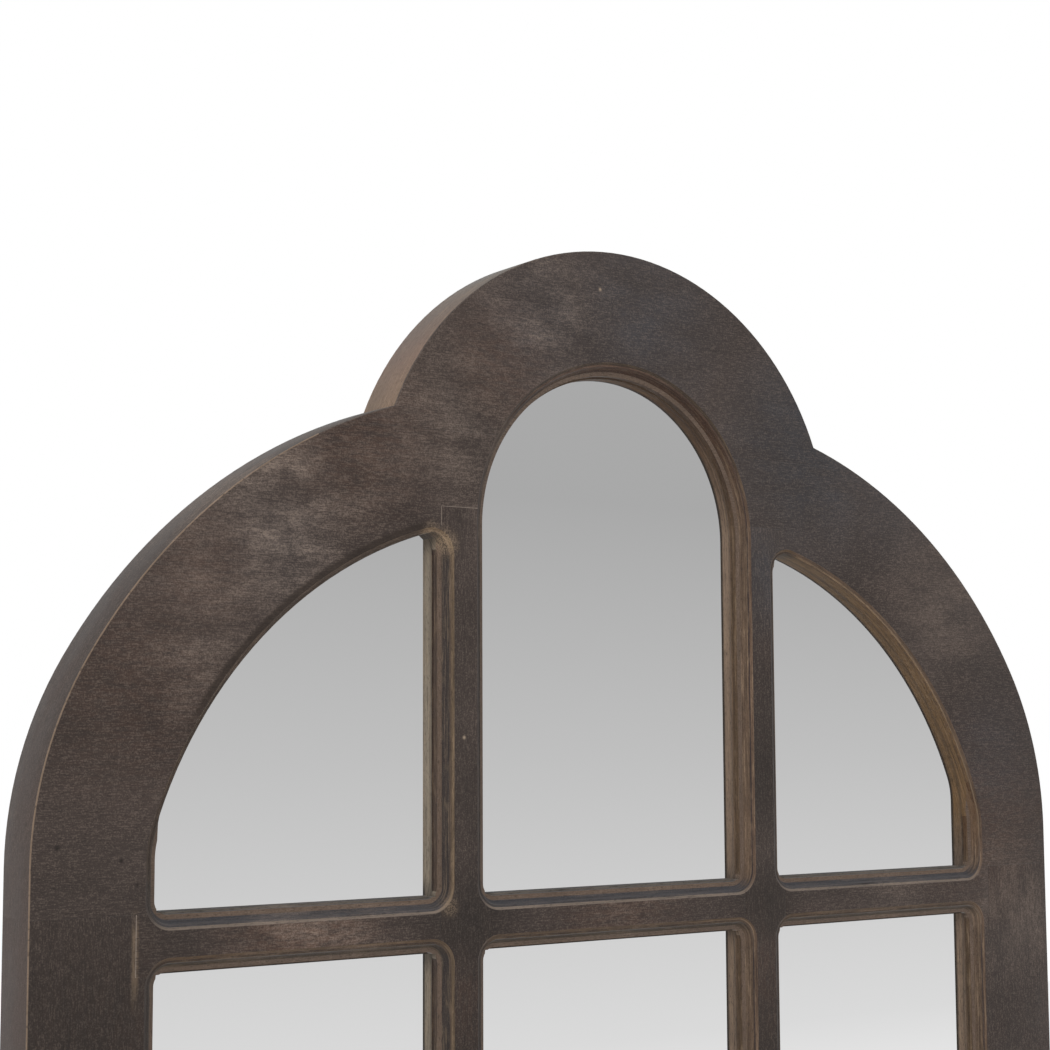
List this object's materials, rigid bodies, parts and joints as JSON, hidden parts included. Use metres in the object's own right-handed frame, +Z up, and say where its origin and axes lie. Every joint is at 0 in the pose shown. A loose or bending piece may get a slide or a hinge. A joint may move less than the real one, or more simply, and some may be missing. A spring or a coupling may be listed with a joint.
{
  "type": "arched window-pane wall mirror",
  "caption": "Wall mirror in a routed wooden frame with an arched crown between rounded shoulders, and muntins that divide one mirror sheet into panes.",
  "frame": {"origin": "on the flat back of the frame, on its centre line, level with the pivots of the two hanging rings", "axes": "+Z up, +Y towards the wall, the mirror faces -Y, +X to the right of someone who faces the mirror"},
  "size_m": [0.8, 0.0445, 1.5],
  "materials": {
    "weathered_wood": "dark grey-brown wash, distressed and waxed",
    "mirror": "silvered float glass",
    "fibreboard": "soft fibreboard, unfinished",
    "plywood": "sanded plywood, unfinished",
    "beech": "beech dowel rod",
    "zinc_plate": "bright zinc plate",
    "felt": "dark grey wool felt"
  },
  "bodies": {
    "frame": {"back_panel": "plywood", "bottom_rail": "weathered_wood", "centre_lower_transom": "weathered_wood", "centre_middle_transom": "weathered_wood", "centre_upper_transom": "weathered_wood", "crown": "weathered_wood", "frame_dowels": "beech", "left_hanging_strap": "zinc_plate", "left_lower_transom": "weathered_wood", "left_middle_transom": "weathered_wood", "left_muntin": "weathered_wood", "left_shoulder": "weathered_wood", "left_stile": "weathered_wood", "left_upper_transom": "weathered_wood", "left_wall_bumper": "felt", "mirror_sheet": "mirror", "packing_board": "fibreboard", "right_hanging_strap": "zinc_plate", "right_lower_transom": "weathered_wood", "right_middle_transom": "weathered_wood", "right_muntin": "weathered_wood", "right_shoulder": "weathered_wood", "right_stile": "weathered_wood", "right_upper_transom": "weathered_wood", "right_wall_bumper": "felt", "strap_screws": "zinc_plate", "turn_button_screws": "zinc_plate"},
    "crown_turn_button": {"crown_turn_button": "zinc_plate"},
    "rail_turn_button": {"rail_turn_button": "zinc_plate"},
    "left_low_turn_button": {"left_low_turn_button": "zinc_plate"},
    "left_middle_turn_button": {"left_middle_turn_button": "zinc_plate"},
    "left_high_turn_button": {"left_high_turn_button": "zinc_plate"},
    "right_low_turn_button": {"right_low_turn_button": "zinc_plate"},
    "right_middle_turn_button": {"right_middle_turn_button": "zinc_plate"},
    "right_high_turn_button": {"right_high_turn_button": "zinc_plate"},
    "left_d_ring": {"left_d_ring": "zinc_plate"},
    "right_d_ring": {"right_d_ring": "zinc_plate"}
  },
  "joints": [
    {"name": "crown_turn_button_pivot", "type": "hinge", "parent": "frame", "child": "crown_turn_button", "pos_m": [0, 0.0009, 0.463], "axis": [0, 1, 0], "continuous": true},
    {"name": "rail_turn_button_pivot", "type": "hinge", "parent": "frame", "child": "rail_turn_button", "pos_m": [0, 0.0009, -0.921], "axis": [0, 1, 0], "continuous": true},
    {"name": "left_low_turn_button_pivot", "type": "hinge", "parent": "frame", "child": "left_low_turn_button", "pos_m": [-0.342, 0.0009, -0.849], "axis": [0, 1, 0], "continuous": true},
    {"name": "left_middle_turn_button_pivot", "type": "hinge", "parent": "frame", "child": "left_middle_turn_button", "pos_m": [-0.342, 0.0009, -0.5055], "axis": [0, 1, 0], "continuous": true},
    {"name": "left_high_turn_button_pivot", "type": "hinge", "parent": "frame", "child": "left_high_turn_button", "pos_m": [-0.342, 0.0009, -0.162], "axis": [0, 1, 0], "continuous": true},
    {"name": "right_low_turn_button_pivot", "type": "hinge", "parent": "frame", "child": "right_low_turn_button", "pos_m": [0.342, 0.0009, -0.849], "axis": [0, 1, 0], "continuous": true},
    {"name": "right_middle_turn_button_pivot", "type": "hinge", "parent": "frame", "child": "right_middle_turn_button", "pos_m": [0.342, 0.0009, -0.5055], "axis": [0, 1, 0], "continuous": true},
    {"name": "right_high_turn_button_pivot", "type": "hinge", "parent": "frame", "child": "right_high_turn_button", "pos_m": [0.342, 0.0009, -0.162], "axis": [0, 1, 0], "continuous": true},
    {"name": "left_d_ring_pivot", "type": "hinge", "parent": "frame", "child": "left_d_ring", "pos_m": [-0.364, 0.00338, 0], "axis": [1, 0, 0], "range_deg": [0, 180]},
    {"name": "right_d_ring_pivot", "type": "hinge", "parent": "frame", "child": "right_d_ring", "pos_m": [0.364, 0.00338, 0], "axis": [1, 0, 0], "range_deg": [0, 180]}
  ]
}
